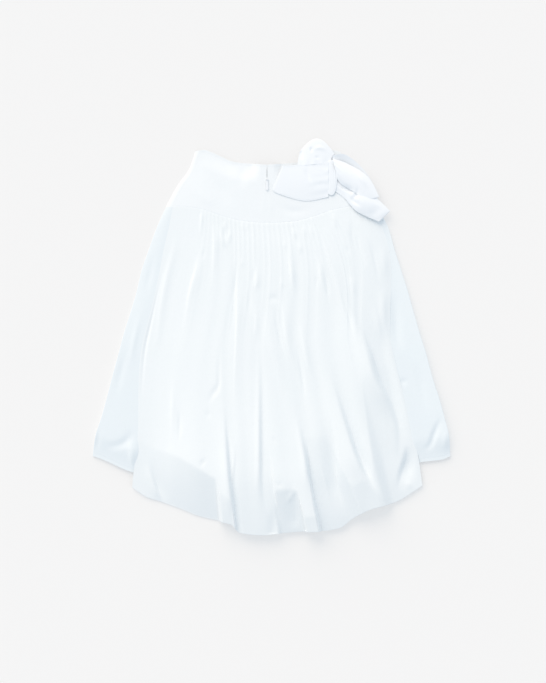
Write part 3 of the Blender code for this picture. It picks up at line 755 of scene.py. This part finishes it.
# %% Creases on the back panel
PANEL_CREASES = table_of(
    Crease,
    (1.4, 3, 6, [(-152, 104), (-156, 120), (-158, 150), (-160, 175)], 0.4),
    (-0.9, 3, 3, [(-161, 112), (-160, 122)]),
    (2.4, 4, 14, [(-156, 196), (-168, 247), (-179, 288), (-187, 324), (-193, 372), (-202, 420)], 0.35),
    (-1, 3, 3, [(-151, 205), (-154, 228)], 0.4),
    (2, 3, 9, [(-127, 140), (-126, 200), (-128, 252), (-131, 312)], 0.3),
    (1.9, 3, 7, [(-113, 140), (-111, 165), (-106, 188), (-97, 202)], 0.6),
    (-1.2, 4, 4, [(-104, 150), (-101, 170), (-96, 186)], 0.4),
    (1.4, 3, 5, [(-89, 150), (-90, 172), (-95, 190)], 0.6),
    (1, 3, 4, [(-98, 128), (-101, 145), (-104, 158)]),
    (1, 3, 4, [(-60, 138), (-61, 158)]),
    (1, 3, 4, [(-51, 140), (-50, 158)]),
    (-1.6, 4, 3, [(-73, 225), (-75, 255), (-77, 290), (-81, 330), (-81, 400)]),
    (2.6, 3, 18, [(-71, 275), (-71, 330), (-72, 400), (-76, 500), (-75, 580)], 0.4),
    (1.1, 3, 5, [(-61, 225), (-60, 245)]),
    (1.8, 3, 7, [(-24, 235), (-25, 260), (-25, 285), (-31, 303)], 0.6),
    (-1, 3, 3, [(-32, 245), (-33, 268), (-34, 290)]),
    (-0.9, 3, 7, [(-44, 290), (-43, 330), (-42, 365)]),
    (1.6, 3, 5, [(60, 150), (65, 165), (69, 180)]),
    (1.6, 3, 6, [(72, 182), (77, 200), (79, 214)], 0.6),
    (1.4, 3, 5, [(84, 138), (89, 158), (93, 178)]),
    (1.1, 3, 5, [(98, 138), (105, 160), (110, 180)]),
    (2, 3, 8, [(150, 108), (157, 125), (163, 145), (166, 155)], 0.4),
    (1.9, 3, 8, [(56, 225), (58, 252), (62, 282), (70, 315)]),
    (1.8, 3, 8, [(122, 220), (126, 250), (130, 282), (137, 312)]),
    (-1, 3, 3, [(117, 262), (119, 300)]),
    (1.1, 3, 5, [(41, 185), (43, 202)]),
    (1, 3, 5, [(33, 270), (36, 300)]),
    (1.6, 3, 8, [(195, 265), (204, 290), (209, 320)]),
    (-1.8, 4, 6, [(201, 130), (212, 160), (220, 195), (232, 235), (238, 252)]),
    (-1.8, 4, 6, [(243, 180), (252, 205), (262, 250), (268, 290)]),
    (-1.2, 3, 4, [(182, 200), (192, 205), (198, 198)]),
    (2, 7, 10, [(-216, 150), (-223, 204), (-239, 264), (-252, 335), (-261, 412), (-277, 470)]),
    (-1.8, 6, 4, [(-243, 230), (-262, 300), (-279, 380), (-292, 444), (-299, 520), (-300, 600)]),
    (1.4, 5, 8, [(-222, 500), (-226, 588), (-222, 670)]),
    (-2, 3, 6, [(-210, 575), (-209, 620), (-210, 665)]),
    (-2.4, 6, 4, [(-108, 395), (-114, 480), (-115, 528), (-130, 552), (-142, 574)], 0.6),
    (-1.6, 4, 4, [(-152, 601), (-130, 596)]),
    (-2.2, 3, 4, [(-160, 724), (-152, 712), (-142, 701)]),
    (5, 13, 4, [(-106, 560), (-101, 640), (-97, 700), (-92, 756), (-86, 810), (-82, 850)], 0.6),
    (-5, 3, 6, [(-99, 580), (-93, 650), (-88, 708), (-83, 770), (-78, 820), (-75, 850)], 0.6),
    (1.4, 4, 8, [(-26, 330), (-26, 380), (-27, 430)]),
    (3.4, 7, 5, [(-21, 420), (-20, 516), (-20, 620), (-20, 720), (-21, 780), (-16, 850)]),
    (-2.4, 3, 10, [(-13, 430), (-12, 528), (-12, 640), (-11, 756), (-7, 804), (2, 850)], 0.6),
    (2.6, 4, 14, [(34, 312), (40, 360), (48, 420), (62, 470), (86, 545)], 0.4),
    (2.8, 12, 14, [(0, 345), (7, 408), (24, 470), (40, 535), (66, 615)], 0.4),
    (-1.8, 4, 4, [(17, 340), (26, 396), (38, 440), (54, 495)], 0.4),
    (-1.2, 3, 3, [(12, 655), (24, 662)]),
    (-1.4, 3, 3, [(16, 760), (30, 763), (43, 757)]),
    (-4, 22, 5, [(58, 750), (64, 790), (69, 830), (72, 875)], 0.8),
    (2, 4, 6, [(44, 814), (58, 792), (72, 768)]),
    (5, 8, 6, [(66, 600), (76, 640), (85, 684), (91, 720), (96, 756), (106, 792)], 0.55),
    (-5, 3, 9, [(76, 610), (87, 655), (96, 700), (103, 745), (115, 790), (128, 838)], 0.6),
    (-9, 34, 6, [(147, 590), (156, 650), (161, 700), (165, 756), (176, 800), (188, 850)], 0.6),
    (1.8, 4, 6, [(120, 700), (138, 756), (152, 812)]),
    (2.2, 4, 10, [(75, 360), (86, 420), (98, 480), (124, 540)]),
    (-2, 4, 5, [(68, 420), (79, 480), (87, 530), (89, 580)]),
    (2, 4, 10, [(52, 170), (55, 223), (59, 276), (66, 335)], 0.4),
    (3, 4, 14, [(128, 160), (141, 204), (157, 250), (173, 304), (188, 355), (201, 410)], 0.4),
    (-2, 3, 5, [(131, 235), (142, 288), (148, 340)]),
    (-2, 4, 5, [(174, 275), (184, 330), (198, 375), (206, 410)]),
    (-1.8, 5, 6, [(203, 118), (204, 170), (215, 206), (232, 255)], 0.4),
    (-11, 9, 56, [(199, 312), (226, 384), (250, 449), (269, 511), (295, 564), (314, 612), (319, 672),
                  (312, 732)], 0.55),
    (7, 28, 7, [(140, 480), (165, 560), (189, 636), (209, 696), (234, 751), (272, 804)], 0.6),
    (-12, 7, 16, [(153, 480), (177, 560), (201, 636), (221, 696), (246, 751), (282, 804)], 0.6),
    (-5, 44, 16, [(236, 540), (268, 630), (296, 700), (316, 770)], 0.6),
    (7, 50, 14, [(182, 312), (209, 384), (233, 449), (252, 511), (276, 562), (294, 612)]),
    (6.5, 24, 5, [(210, 360), (226, 400), (244, 449), (264, 511), (289, 564), (312, 618)], 0.7),
    (-15, 7, 30, [(339, 668), (334, 708), (323, 742), (314, 786)], 0.45),
    (2.5, 10, 10, [(328, 774), (352, 760)]),
    (3.5, 12, 4, [(-289, 712), (-280, 744), (-267, 780), (-253, 808)], 0.7),
    (-3.5, 3, 14, [(-281, 704), (-271, 744), (-258, 780), (-242, 812)], 0.6),
    (-6, 12, 12, [(26, 810), (16, 850), (14, 890)], 0.85),
    (-1.6, 5, 6, [(0, 327), (16, 321), (33, 329)]),
    (3, 10, 12, [(272, 190), (284, 235), (290, 282)]),
    (-3.4, 7, 12, [(256, 300), (268, 350), (280, 400), (294, 450)]),
    (6, 20, 13, [(276, 290), (280, 340), (282, 390), (288, 440)]),
)
print(len(PANEL_CREASES), "creases on the back panel")

# %% Gathers and folds
HOLLOW_SHARE = 0.15
GATHERS_IN_FOLD = 3
GATHER_SEED = 11
GATHER_HEIGHT = 1.1
GATHER_LOWEST = 0.15
GATHER_REACH = (0.06, 0.40)
GATHER_START = 0.012
GATHER_SHARPNESS = 4


def ridge_shares(along):
    """The share of the width at which each fold's ridge runs, an array with a row for each fold."""
    rows = []
    for fold in FOLDS:
        rows.append(smooth(table_of(Station, *zip(STATIONS, fold)), "share", along))
    return np.array(rows)


gather_count = GATHERS_IN_FOLD * (len(FOLDS) - 1)
chance = np.random.default_rng(GATHER_SEED)
gather_heights = chance.uniform(GATHER_LOWEST, 1.0, gather_count) * GATHER_HEIGHT
gather_reaches = chance.uniform(*GATHER_REACH, gather_count)


def gathers(column, along):
    """Small ridges under the yoke seam, each with its own height and reach down the panel."""
    number = np.clip(np.floor(GATHERS_IN_FOLD * column).astype(int), 0, gather_count - 1)
    phase = GATHERS_IN_FOLD * column - number
    drawn = np.clip(along / GATHER_START, 0, 1) * np.exp(-(along / gather_reaches[number]) ** 2)
    return gather_heights[number] * drawn * np.sin(np.pi * phase) ** GATHER_SHARPNESS


def panel_place(column, along):
    """Share across the panel, and the regular part of its relief."""
    fold = np.clip(np.floor(column).astype(int), 0, len(FOLDS) - 2)
    phase = column - fold
    ridges = ridge_shares(along)
    each = np.arange(column.size)
    share = mix(ridges[fold, each], ridges[fold + 1, each], phase)
    hollow = HOLLOW_SHARE * values(FOLDS, "hollow")[fold] * np.sin(np.pi * phase) ** 2
    relief = smooth(RISES, "cloth", along) + gathers(column, along)
    return share, relief - smooth(RISES, "hollow", along) * hollow


# %% Back panel surface
HEM_ROLL = 6.0
HEM_RETURN = 45
HEM_RETURN_SIDE = 22
HEM_CREASED = 0.45
# Powers of the rise between the side seams, at the yoke and at the hem: a higher one is squarer.
SHOULDER_LEFT = (1.4, 5)
SHOULDER_RIGHT = (5, 10)
FLAT_EDGE = 0.20
CREASES_FROM_YOKE = 20
CREASES_FROM_LEFT = 0.015
CREASES_FROM_RIGHT = 0.045
EDGE_STAND = 0.5
EDGE_STAND_FROM = 0.46
EDGE_STAND_OVER = 0.2
EDGE_STAND_POWER = 6
PANEL_LIFT = 0.1
LEAST_RISE = 3.0
PUFF_FROM = 0.60
PUFF_CROWDING = 1.6


def shoulder(share, along):
    """How far the puffed panel has risen between its seams, from 0 to 1, flat at first at the left."""
    power = np.where(share < 0.5, mix(*SHOULDER_LEFT, along ** 4), mix(*SHOULDER_RIGHT, along ** 2))
    return (1 - np.abs(2 * share - 1) ** power) * eased(share / FLAT_EDGE)


def panel_point(column, row):
    """Rows: 0 under the yoke, 1 where the puff starts, 2 at the outline, 3 under it, 4 at the edge."""
    under = np.clip(row - 2, 0, 1) * np.pi / 2
    crowded = 1 - (1 - np.clip(row - 1, 0, 1)) ** PUFF_CROWDING
    along = np.where(row <= 1, row * PUFF_FROM, mix(PUFF_FROM, 1, crowded))
    share, relief = panel_place(column, along)
    seam_down = on_line(YOKE_SEAM, seam_left, seam_right, share)[1] - TUCK
    hem_down = smooth(PANEL_HEM, "down", share)
    returned = mix(HEM_RETURN_SIDE, HEM_RETURN, np.sin(np.pi * share))
    inward = HEM_ROLL * (1 - np.cos(under)) + returned * np.clip(row - 3, 0, 1)
    down = mix(seam_down, hem_down, along) - inward
    x = mix(seam_left(down), seam_right(down), share)
    lift = shoulder(share, along)
    base = back_height(x, down) - np.where(row <= 1, tucked(down - seam_down), 0) + PANEL_LIFT
    base = base + (1 - lift) * hem_fall(x, down) * np.maximum(HEM_REST - level(down, "side"), 0)
    turn = smooth(TURNS, "along", column)
    past_turn = np.clip((along - turn) / (1 - turn), 0, 1)
    fallen = past_turn + smooth(TURNS, "bend", column) * past_turn * (1 - past_turn)
    inside = eased(share / CREASES_FROM_LEFT) * eased((1 - share) / CREASES_FROM_RIGHT)
    inside = inside * np.clip((down - seam_down - TUCK) / CREASES_FROM_YOKE, 0, 1)
    creased = crease_relief(x, down, PANEL_CREASES) * inside * mix(1, HEM_CREASED, past_turn ** 2)
    stand = np.clip(2 * share - 1, 0, 1) ** EDGE_STAND_POWER
    stand = EDGE_STAND * stand * eased((along - EDGE_STAND_FROM) / EDGE_STAND_OVER)
    puffed = base + stand + lift * relief
    top = mix(puffed, np.minimum(puffed, smooth(TURNS, "edge", column)), fallen) + creased
    rolled = np.minimum(HEM_ROLL, top - CLOTH)
    turned = mix(top - rolled * np.sin(under), CLOTH / 2, eased(row - 3))
    z = np.where(row <= 2, top, turned)
    return x, down, np.maximum(z, np.where(row <= 2, LEAST_RISE, CLOTH / 2))


# %% Back panel
COLUMNS_IN_FOLD = 20
# Start, stop and steps of each run of rows, finest under the yoke.
ROW_RUNS = ((0, 0.04, 8), (0.04, 1, 68), (1, 2, 68), (2, 3, 5), (3, 4, 4))

panel_columns = steps(0, len(FOLDS) - 1, COLUMNS_IN_FOLD * (len(FOLDS) - 1))
panel_rows = [0]
for run in ROW_RUNS:
    panel_rows += steps(*run)[1:]
back_panel = cloth("cloth_back_panel", panel_columns, panel_rows, panel_point, poplin_gathered_painted_shade,
                   "back_panel", "back_panel_middle", "back_panel_lower", "back_side_left", "back_puff")

# %% [markdown]
# ## Bow
# Each loop is one band of cloth that leaves the knot, folds over at its tip and comes back on top of
# itself, drawn into gathers at the knot. A row of the table holds both edges of the band, so a ruled
# surface between two curves gives the loop, and creases then soften its top layer. The lower layer
# of the right loop shows beyond the upper one, dished, and so in shade.

# %% Bow loops
# A row: x, down and height of one edge of the band, the same of its other edge, then how far its middle
# bulges up the photo and how far it swells towards the eye.
BOW_LOOPS = {
    "bow_loop_left": [
        (147, -4, 9.8, 147, 72, 9.2, 0, 0),
        (95, -1, 10.4, 90, 83, 10.2, 0, 0),
        (45, 4, 11.4, 27, 68, 11.4, 0, 0),
        (37, 3, 11.8, 13, 60, 11.7, 0, 0),
        (46, 3, 12.2, 27, 70, 12.1, 0, 0.6),
        (95, -2, 12, 90, 87, 11, 0, 2),
        (147, -5, 11.6, 147, 78, 9.6, 0, 2),
    ],
    "bow_loop_top": [
        (72, 4, 11, 150, -4, 9, 0, 0),
        (76, -16, 9.2, 156, -18, 8.2, 10, 0),
        (78, -26, 8.2, 160, -24, 7.4, 26, 0),
        (78, -30, 8.8, 162, -26, 8, 34, 0),
        (78, -26, 9.4, 160, -24, 8.6, 26, 1.5),
        (75, -15, 10.4, 156, -18, 9.4, 10, 2),
        (72, 4, 11.6, 150, -4, 10.2, 0, 2),
    ],
    "bow_loop_right": [
        (156, -22, 11.5, 164, 14, 9.6, 0, -2),
        (190, -22, 16, 176, 38, 10.6, 0, -6),
        (238, 20, 12, 205, 62, 15, 0, 0),
        (268, 78, 17, 232, 88, 18, 0, 0),
        (242, 30, 16, 208, 66, 16.5, 0, 4),
        (196, 0, 14, 174, 43, 13.4, 0, 5),
        (156, -16, 12, 164, 17, 12.2, 0, 3),
    ],
    "bow_loop_lower": [
        (160, 12, 8.8, 160, 61, 8, 0, 0),
        (196, 34, 9, 186, 80, 7.2, 0, 0),
        (246, 68, 9.6, 216, 112, 11, 0, 0),
        (294, 112, 15, 268, 137, 14, 0, 0),
        (248, 68, 14, 216, 113, 12, 0, 7),
        (196, 34, 9.8, 186, 81, 8.2, 0, 2),
        (160, 12, 10.2, 160, 62, 8.8, 0, 0.8),
    ],
}
BOW_CREASES = table_of(
    Crease,
    (-1.5, 4, 4, [(90, 6), (97, 24), (106, 48)]),
    (-1.6, 4, 4, [(25, 20), (18, 40), (14, 52)]),
    (-0.4, 4, 5, [(141, 20), (120, 16), (96, 22)], 0.2),
    (-0.4, 4, 5, [(141, 45), (118, 48), (92, 58)], 0.2),
    (-2.6, 4, 4, [(79, -44), (81, -26), (85, -8)]),
    (1.6, 4, 5, [(110, -34), (125, -40), (146, -33)]),
    (-2, 3, 3, [(106, -44), (106, -27)]),
    (-1, 3, 3, [(112, -19), (127, -14)]),
    (-5, 4, 6, [(165, 17), (170, 36), (182, 53), (199, 62), (206, 72)], 0.6),
    (-3.5, 4, 4, [(218, 52), (214, 72), (202, 88)]),
    (-9, 7, 20, [(240, 112), (262, 118), (292, 112)], 0.6),
    (2.4, 5, 5, [(206, 10), (228, 40), (242, 66)]),
    (3, 5, 5, [(256, 90), (266, 100), (276, 112)]),
    (-2.6, 4, 5, [(196, 76), (212, 92), (232, 104)], 0.4),
)


# %% Loop surface
LOOP_GATHERS = 4
LOOP_GATHER_HEIGHT = 0.3
UPPER_LAYER_FROM = 3.3
LOOP_STEPS = (56, 96)


def loop_surface(stations):
    """Surface of a band: across it from edge a to edge b, along it through its stations."""
    def point(across, along):
        last = len(stations) - 1
        at = along * last
        ax, a_down, az, bx, b_down, bz, bulge, swell = spline(stations, at).T
        arch = np.sin(np.pi * across)
        near_knot = np.clip(1 - np.minimum(at, last - at), 0, 1)
        gather = LOOP_GATHER_HEIGHT * near_knot * np.cos(2 * np.pi * LOOP_GATHERS * across)
        x = mix(ax, bx, across)
        down = mix(a_down, b_down, across) - bulge * arch
        z = mix(az, bz, across) + swell * arch + gather
        upper = np.clip(at - UPPER_LAYER_FROM, 0, 1)
        return x, down, z + upper * crease_relief(x, down, BOW_CREASES)
    return point


bow = {}
for node, stations in BOW_LOOPS.items():
    bow[node] = cloth("cloth_" + node, *grid(*LOOP_STEPS), loop_surface(stations), poplin_bow, node)

# %% [markdown]
# ## Knot
# A short band is gathered round the roots of the loops. It lies nearly flat, so a ball squashed to a
# long low form, with a wave round it for the gathers, gives it without a seam to hide.

# %% Knot of the bow
KNOT_X = 154
KNOT_DOWN = 31
KNOT_HALF_WIDTH = 14.0
KNOT_HALF_LENGTH = 43
KNOT_HALF_HEIGHT = 1.9
KNOT_CENTRE = 10.6
KNOT_GATHERS = 7
KNOT_GATHER_SHARE = 0.06
KNOT_FULLNESS = 0.1
KNOT_DRIFT = (0.5, 2.2, 0.4)
KNOT_SEGMENTS = 112
KNOT_RINGS = 60
TINY = 0.001

bpy.ops.mesh.primitive_uv_sphere_add(segments=KNOT_SEGMENTS, ring_count=KNOT_RINGS, radius=1)
knot = bpy.context.object
knot.name = "cloth_bow_knot"
unit = read(knot.data.vertices, "co", np.float32, 3).astype(float)
turn = np.arctan2(unit[:, 1], unit[:, 0])
sway, sway_pace, sway_start = KNOT_DRIFT
drift = sway * np.sin(sway_pace * unit[:, 2] + sway_start)
wave = 1 + KNOT_GATHER_SHARE * np.cos(2 * KNOT_GATHERS * turn + drift) * (1 - unit[:, 2] ** 2)
wave = wave * (1 + TINY - unit[:, 2] ** 2) ** -KNOT_FULLNESS
knot_x = KNOT_X + unit[:, 0] * wave * KNOT_HALF_WIDTH
knot_down = KNOT_DOWN - unit[:, 2] * KNOT_HALF_LENGTH
knot_z = KNOT_CENTRE + unit[:, 1] * wave * KNOT_HALF_HEIGHT
knot.data.vertices.foreach_set("co", placed(knot_x, knot_down, knot_z).astype(np.float32).ravel())
knot.data.uv_layers[0].name = "cloth"
knot.data.materials.append(poplin_bow)
knot.data.shade_smooth()
knot.data.update()
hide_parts("bow_knot")
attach(knot, "root")
print(knot.name, len(knot.data.polygons), "faces")

# %% [markdown]
# ## Stitches and zip coil
# A sewn line is the same small thing over and over along a path, so one Geometry Nodes tree makes it:
# it spaces points along a line of edges and stands a pill on each, turned to the line. With other
# sizes the same tree gives the plastic coil along each zip tape. The result is kept as a plain mesh.

# %% Row tree
def row_tree():
    """Geometry Nodes: pills spaced along a line, with pitch, length, radius and material as inputs."""
    tree = bpy.data.node_groups.new("pills_along_a_line", "GeometryNodeTree")
    face = tree.interface
    for name, kind in (("Line", "Geometry"), ("Pitch", "Float"), ("Pill Length", "Float"),
                       ("Pill Radius", "Float"), ("Finish", "Material")):
        face.new_socket(name, in_out="INPUT", socket_type="NodeSocket" + kind)
    face.new_socket("Row", in_out="OUTPUT", socket_type="NodeSocketGeometry")
    given = add(tree, "NodeGroupInput").outputs
    line = add(tree, "GeometryNodeMeshToCurve", {"Mesh": given["Line"]})
    spots = add(tree, "GeometryNodeCurveToPoints", {"Curve": line, "Length": given["Pitch"]},
                mode="LENGTH")
    pill = add(tree, "GeometryNodeMeshUVSphere", {"Segments": 6, "Rings": 4, "Radius": 1.0})
    half = add(tree, "ShaderNodeMath", {0: given["Pill Length"], 1: 0.5}, operation="MULTIPLY")
    radius = given["Pill Radius"]
    size = add(tree, "ShaderNodeCombineXYZ", {"X": radius, "Y": radius, "Z": half})
    stood = add(tree, "GeometryNodeInstanceOnPoints", {"Points": spots, "Instance": pill, "Scale": size,
                                                       "Rotation": spots.outputs["Rotation"]})
    real = add(tree, "GeometryNodeRealizeInstances", {"Geometry": stood})
    smoothed = add(tree, "GeometryNodeSetShadeSmooth", {"Geometry": real})
    finished = add(tree, "GeometryNodeSetMaterial", {"Geometry": smoothed, "Material": given["Finish"]})
    add(tree, "NodeGroupOutput", {"Row": finished})
    return tree


pill_rows = row_tree()


def pill_row(name, points, pitch, length, radius, finish):
    """A row of pills along points in the frame, kept as a plain mesh that rides on the skirt."""
    line = bpy.data.meshes.new(name)
    edges = [(number, number + 1) for number in range(len(points) - 1)]
    line.from_pydata([tuple(point) for point in points], edges, [])
    row = bpy.data.objects.new(name, line)
    scene.collection.objects.link(row)
    made = row.modifiers.new("Row", "NODES")
    made.node_group = pill_rows
    given = {"Pitch": pitch * MM, "Pill Length": length * MM, "Pill Radius": radius * MM, "Finish": finish}
    for socket in pill_rows.interface.items_tree:
        if socket.name in given:
            made[socket.identifier] = given[socket.name]
    graph = bpy.context.evaluated_depsgraph_get()
    row.data = bpy.data.meshes.new_from_object(row.evaluated_get(graph))
    row.data.name = name
    row.modifiers.clear()
    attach(row, "root")
    print(name, len(row.data.polygons), "faces")


# %% Stitches
STITCH_PITCH = 2.9
STITCH_LENGTH = 2.3
STITCH_RADIUS = 0.24
# A run is the start, the stop and the number of points along a line, in shares of the piece.
YOKE_RUN = (0.02, 0.985, 140)
YOKE_LINES = (("seam", 0.975), ("waist", 0.03))
HEM_STARTS = (("left", 0.05), ("right", 4.06))
HEM_RUN = 0.86
HEM_POINTS = 60
HEM_LINE = 0.984
BOW_RUN = (0.52, 0.97, 120)
BOW_LINES = (("bow_loop_left", "low", 0.96), ("bow_loop_left", "high", 0.04),
             ("bow_loop_lower", "low", 0.95))


def stitched(name, point, columns, rows):
    """Topstitching just above the cloth that the function gives, along a column or a row of its grid."""
    x, down, z = point(*np.broadcast_arrays(columns, rows))
    pill_row(name, placed(x, down, z + CLOTH / 2 + STITCH_RADIUS / 3), STITCH_PITCH, STITCH_LENGTH,
             STITCH_RADIUS, thread_white)


for side, half in (("left", yoke_half(-1)), ("right", yoke_half(1))):
    for line, share in YOKE_LINES:
        stitched("stitch_" + line + "_" + side, half, np.linspace(*YOKE_RUN), share)
for side, start in HEM_STARTS:
    across = np.linspace(start, start + HEM_RUN, HEM_POINTS)
    stitched("stitch_front_hem_" + side, front_point, across, HEM_LINE)
for node, side, share in BOW_LINES:
    surface = loop_surface(BOW_LOOPS[node])
    stitched("stitch_" + node + "_" + side, surface, share, np.linspace(*BOW_RUN))

# %% Zip coil
COIL_PITCH = 1.3
COIL_LENGTH = 1.0
COIL_RADIUS = 0.55
for side in ("left", "right"):
    tape_low, tape_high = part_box("zip_tape_" + side)
    edge = tape_high[0] if side == "left" else tape_low[0]
    height = tape_high[2] + COIL_RADIUS * MM / 2
    ends = (Vector((edge, tape_low[1], height)), Vector((edge, tape_high[1], height)))
    pill_row("zip_coil_" + side, ends, COIL_PITCH, COIL_LENGTH, COIL_RADIUS, coil_white)

# %% [markdown]
# ## Zip
# The zip hides under the slit. Its slider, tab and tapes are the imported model's own solids, which are
# fine enough to be seen as they are, so they only need their finishes: enamel and knitted tape.

# %% Zip finish
for name, finish in (("zip_slider", enamel_white), ("zip_pull", enamel_white),
                     ("zip_tape_left", tape_white), ("zip_tape_right", tape_white)):
    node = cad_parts[name]
    node.data.materials.clear()
    node.data.materials.append(finish)
    print(name, "is finished as", finish.name)

# %% [markdown]
# ## Cloth facts
# Each sheet's cut size is printed: the cloth that shows, its folds opened out.

def declare(piece, width, length, held):
    """Prints a sheet's name, its cut width and length in metres and how it is held."""
    print(piece.name, "is", held, "from", width, "by", length, "m")


declare(front_panel, 1.08, 0.68, "laid")
declare(front_yoke, 0.56, 0.18, "laid")
declare(yoke_left, 0.24, 0.18, "laid")
declare(yoke_right, 0.26, 0.18, "laid")
declare(back_panel, 0.98, 0.9, "gathered")
declare(bow["bow_loop_left"], 0.28, 0.10, "folded")
declare(bow["bow_loop_top"], 0.14, 0.12, "folded")
declare(bow["bow_loop_right"], 0.26, 0.07, "folded")
declare(bow["bow_loop_lower"], 0.32, 0.06, "folded")
